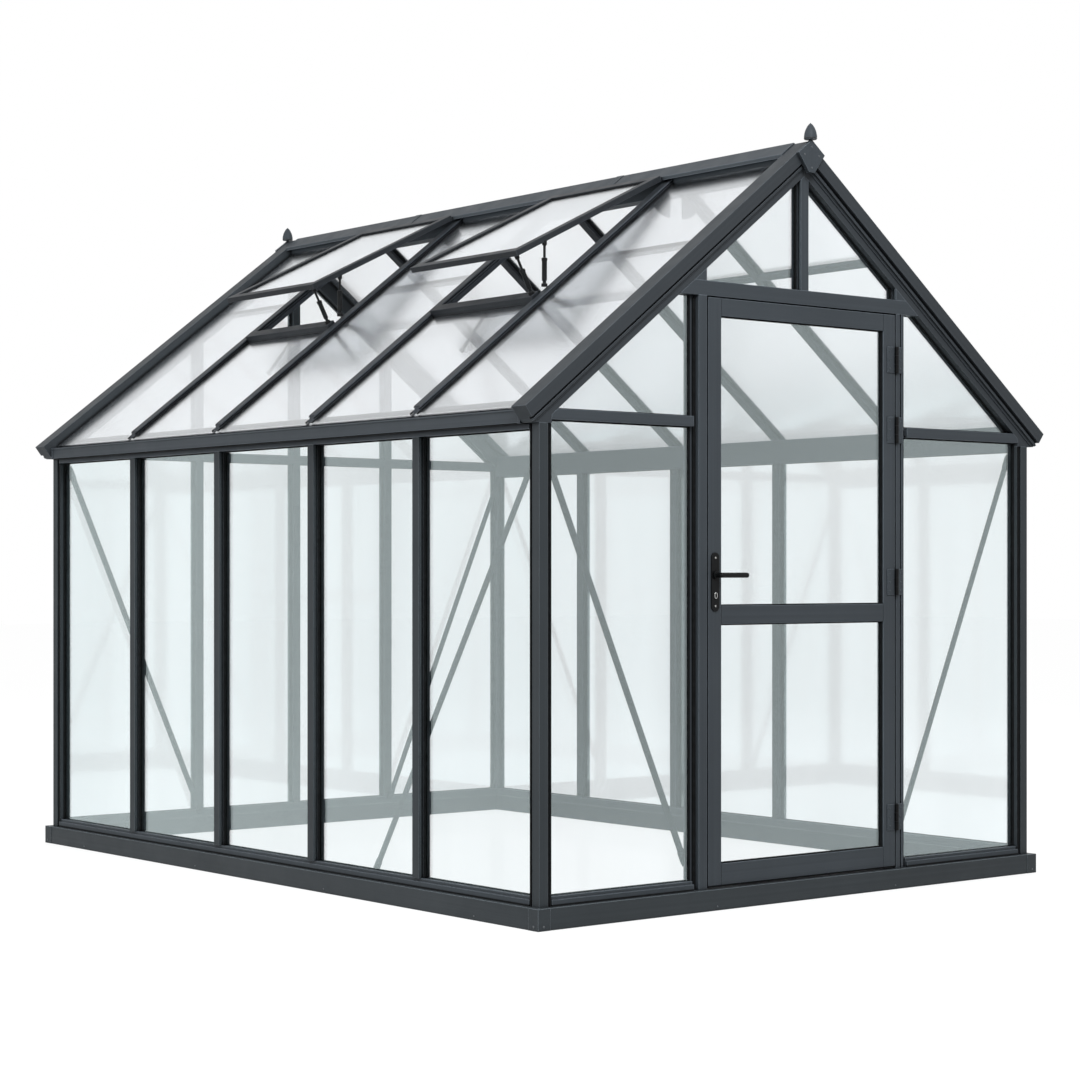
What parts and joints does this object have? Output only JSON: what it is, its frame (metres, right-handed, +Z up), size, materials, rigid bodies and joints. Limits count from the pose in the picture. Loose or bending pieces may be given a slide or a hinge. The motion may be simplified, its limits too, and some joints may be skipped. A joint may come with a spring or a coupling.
{
  "type": "glass greenhouse",
  "caption": "Small free-standing glass greenhouse with a dark metal frame, a pitched glass roof, a hinged gable door with a lever handle, and roof vents standing open.",
  "frame": {"origin": "on the ground, at the middle of the plan", "axes": "+Z up, +Y along the ridge from the door gable to the back gable, +X to the right as the door is faced from outside"},
  "size_m": [2.426, 3.2138, 2.5898],
  "materials": {
    "frame_metal": "anthracite powder coat, satin",
    "base_metal": "anthracite powder coat, satin",
    "glass": "clear toughened glass, 4 mm",
    "handle_black": "black satin",
    "hinge_black": "black satin"
  },
  "bodies": {
    "building": {"barge_back_left": "frame_metal", "barge_back_right": "frame_metal", "barge_front_left": "frame_metal", "barge_front_right": "frame_metal", "base_back": "base_metal", "base_corner_plates": "base_metal", "base_front": "base_metal", "base_left": "base_metal", "base_right": "base_metal", "braces": "frame_metal", "corner_posts": "frame_metal", "door_header": "frame_metal", "door_post_left": "frame_metal", "door_post_right": "frame_metal", "eave_bars_back": "frame_metal", "eave_bars_front": "frame_metal", "eave_beam_left": "frame_metal", "eave_beam_right": "frame_metal", "eave_strips": "frame_metal", "finials": "frame_metal", "gable_bars_back": "frame_metal", "gable_bars_front": "frame_metal", "glass_back": "glass", "glass_front": "glass", "glass_left": "glass", "glass_right": "glass", "glass_roof_left": "glass", "glass_roof_right": "glass", "gutter_left": "frame_metal", "gutter_right": "frame_metal", "post_hinge_leaves": "hinge_black", "purlins": "frame_metal", "ridge_beam": "frame_metal", "ridge_cap": "frame_metal", "ridge_ends": "frame_metal", "ridge_gussets": "frame_metal", "roof_bars_left": "frame_metal", "roof_bars_right": "frame_metal", "sill_back": "frame_metal", "sill_front": "frame_metal", "sill_left": "frame_metal", "sill_right": "frame_metal", "vent_frame_1": "frame_metal", "vent_frame_2": "frame_metal", "vent_glass": "glass", "vent_sills": "frame_metal", "vent_stays": "frame_metal", "wall_bars_left": "frame_metal", "wall_bars_right": "frame_metal"},
    "door": {"door_stiles": "frame_metal", "door_rails": "frame_metal", "door_glass": "glass", "door_handle_plates": "handle_black", "door_hinge_leaves": "hinge_black"},
    "lever": {"door_lever": "handle_black"}
  },
  "joints": [
    {"name": "door_hinge", "type": "hinge", "parent": "building", "child": "door", "pos_m": [0.443, -1.565, 0], "axis": [0, 0, 1], "range_deg": [0, 110]},
    {"name": "lever_turn", "type": "hinge", "parent": "door", "child": "lever", "pos_m": [-0.4115, -1.558, 1.082], "axis": [0, 1, 0], "range_deg": [0, 35], "stiffness_Nm_per_rad": 1.2, "springref_deg": -22.92}
  ]
}
